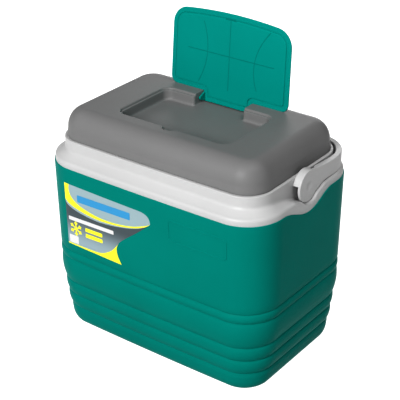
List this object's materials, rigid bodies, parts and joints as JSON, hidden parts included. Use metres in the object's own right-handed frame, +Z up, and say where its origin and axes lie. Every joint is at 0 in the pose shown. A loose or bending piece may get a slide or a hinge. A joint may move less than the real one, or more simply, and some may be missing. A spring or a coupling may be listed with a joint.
{
  "type": "hand-carry cooler box",
  "caption": "Insulated plastic cooler box with a ribbed drafted body, a collar with a swing bail, a lift-off domed lid and a flip-up hatch over a tray in the lid.",
  "frame": {"origin": "middle of the underside, where the box stands on the ground", "axes": "+X along the box to the right as the front is faced, -Y towards the front, +Z up"},
  "size_m": [0.438, 0.288, 0.534],
  "materials": {
    "teal_plastic": "satin",
    "white_plastic": "satin",
    "grey_plastic": "satin",
    "foam": "matte",
    "label_film": "gloss"
  },
  "bodies": {
    "cooler_body": {"outer_shell": "teal_plastic", "shell_plug": "white_plastic", "body_foam": "foam", "inner_liner": "white_plastic", "collar": "white_plastic", "front_label": "label_film"},
    "handle": {"handle": "white_plastic"},
    "lid": {"lid_shell": "grey_plastic", "lid_foam": "foam", "lid_liner": "white_plastic", "lid_plug": "white_plastic"},
    "hatch": {"hatch": "teal_plastic"}
  },
  "joints": [
    {"name": "lid_lift", "type": "slide", "parent": "cooler_body", "child": "lid", "axis": [0, 0, 1], "range_m": [0, 0.16]},
    {"name": "hatch_hinge", "type": "hinge", "parent": "lid", "child": "hatch", "pos_m": [0, 0.0725, 0.3876], "axis": [1, 0, 0], "range_deg": [0, 94]},
    {"name": "handle_swing", "type": "hinge", "parent": "cooler_body", "child": "handle", "pos_m": [0, 0, 0.331], "axis": [1, 0, 0], "range_deg": [0, 37]}
  ]
}
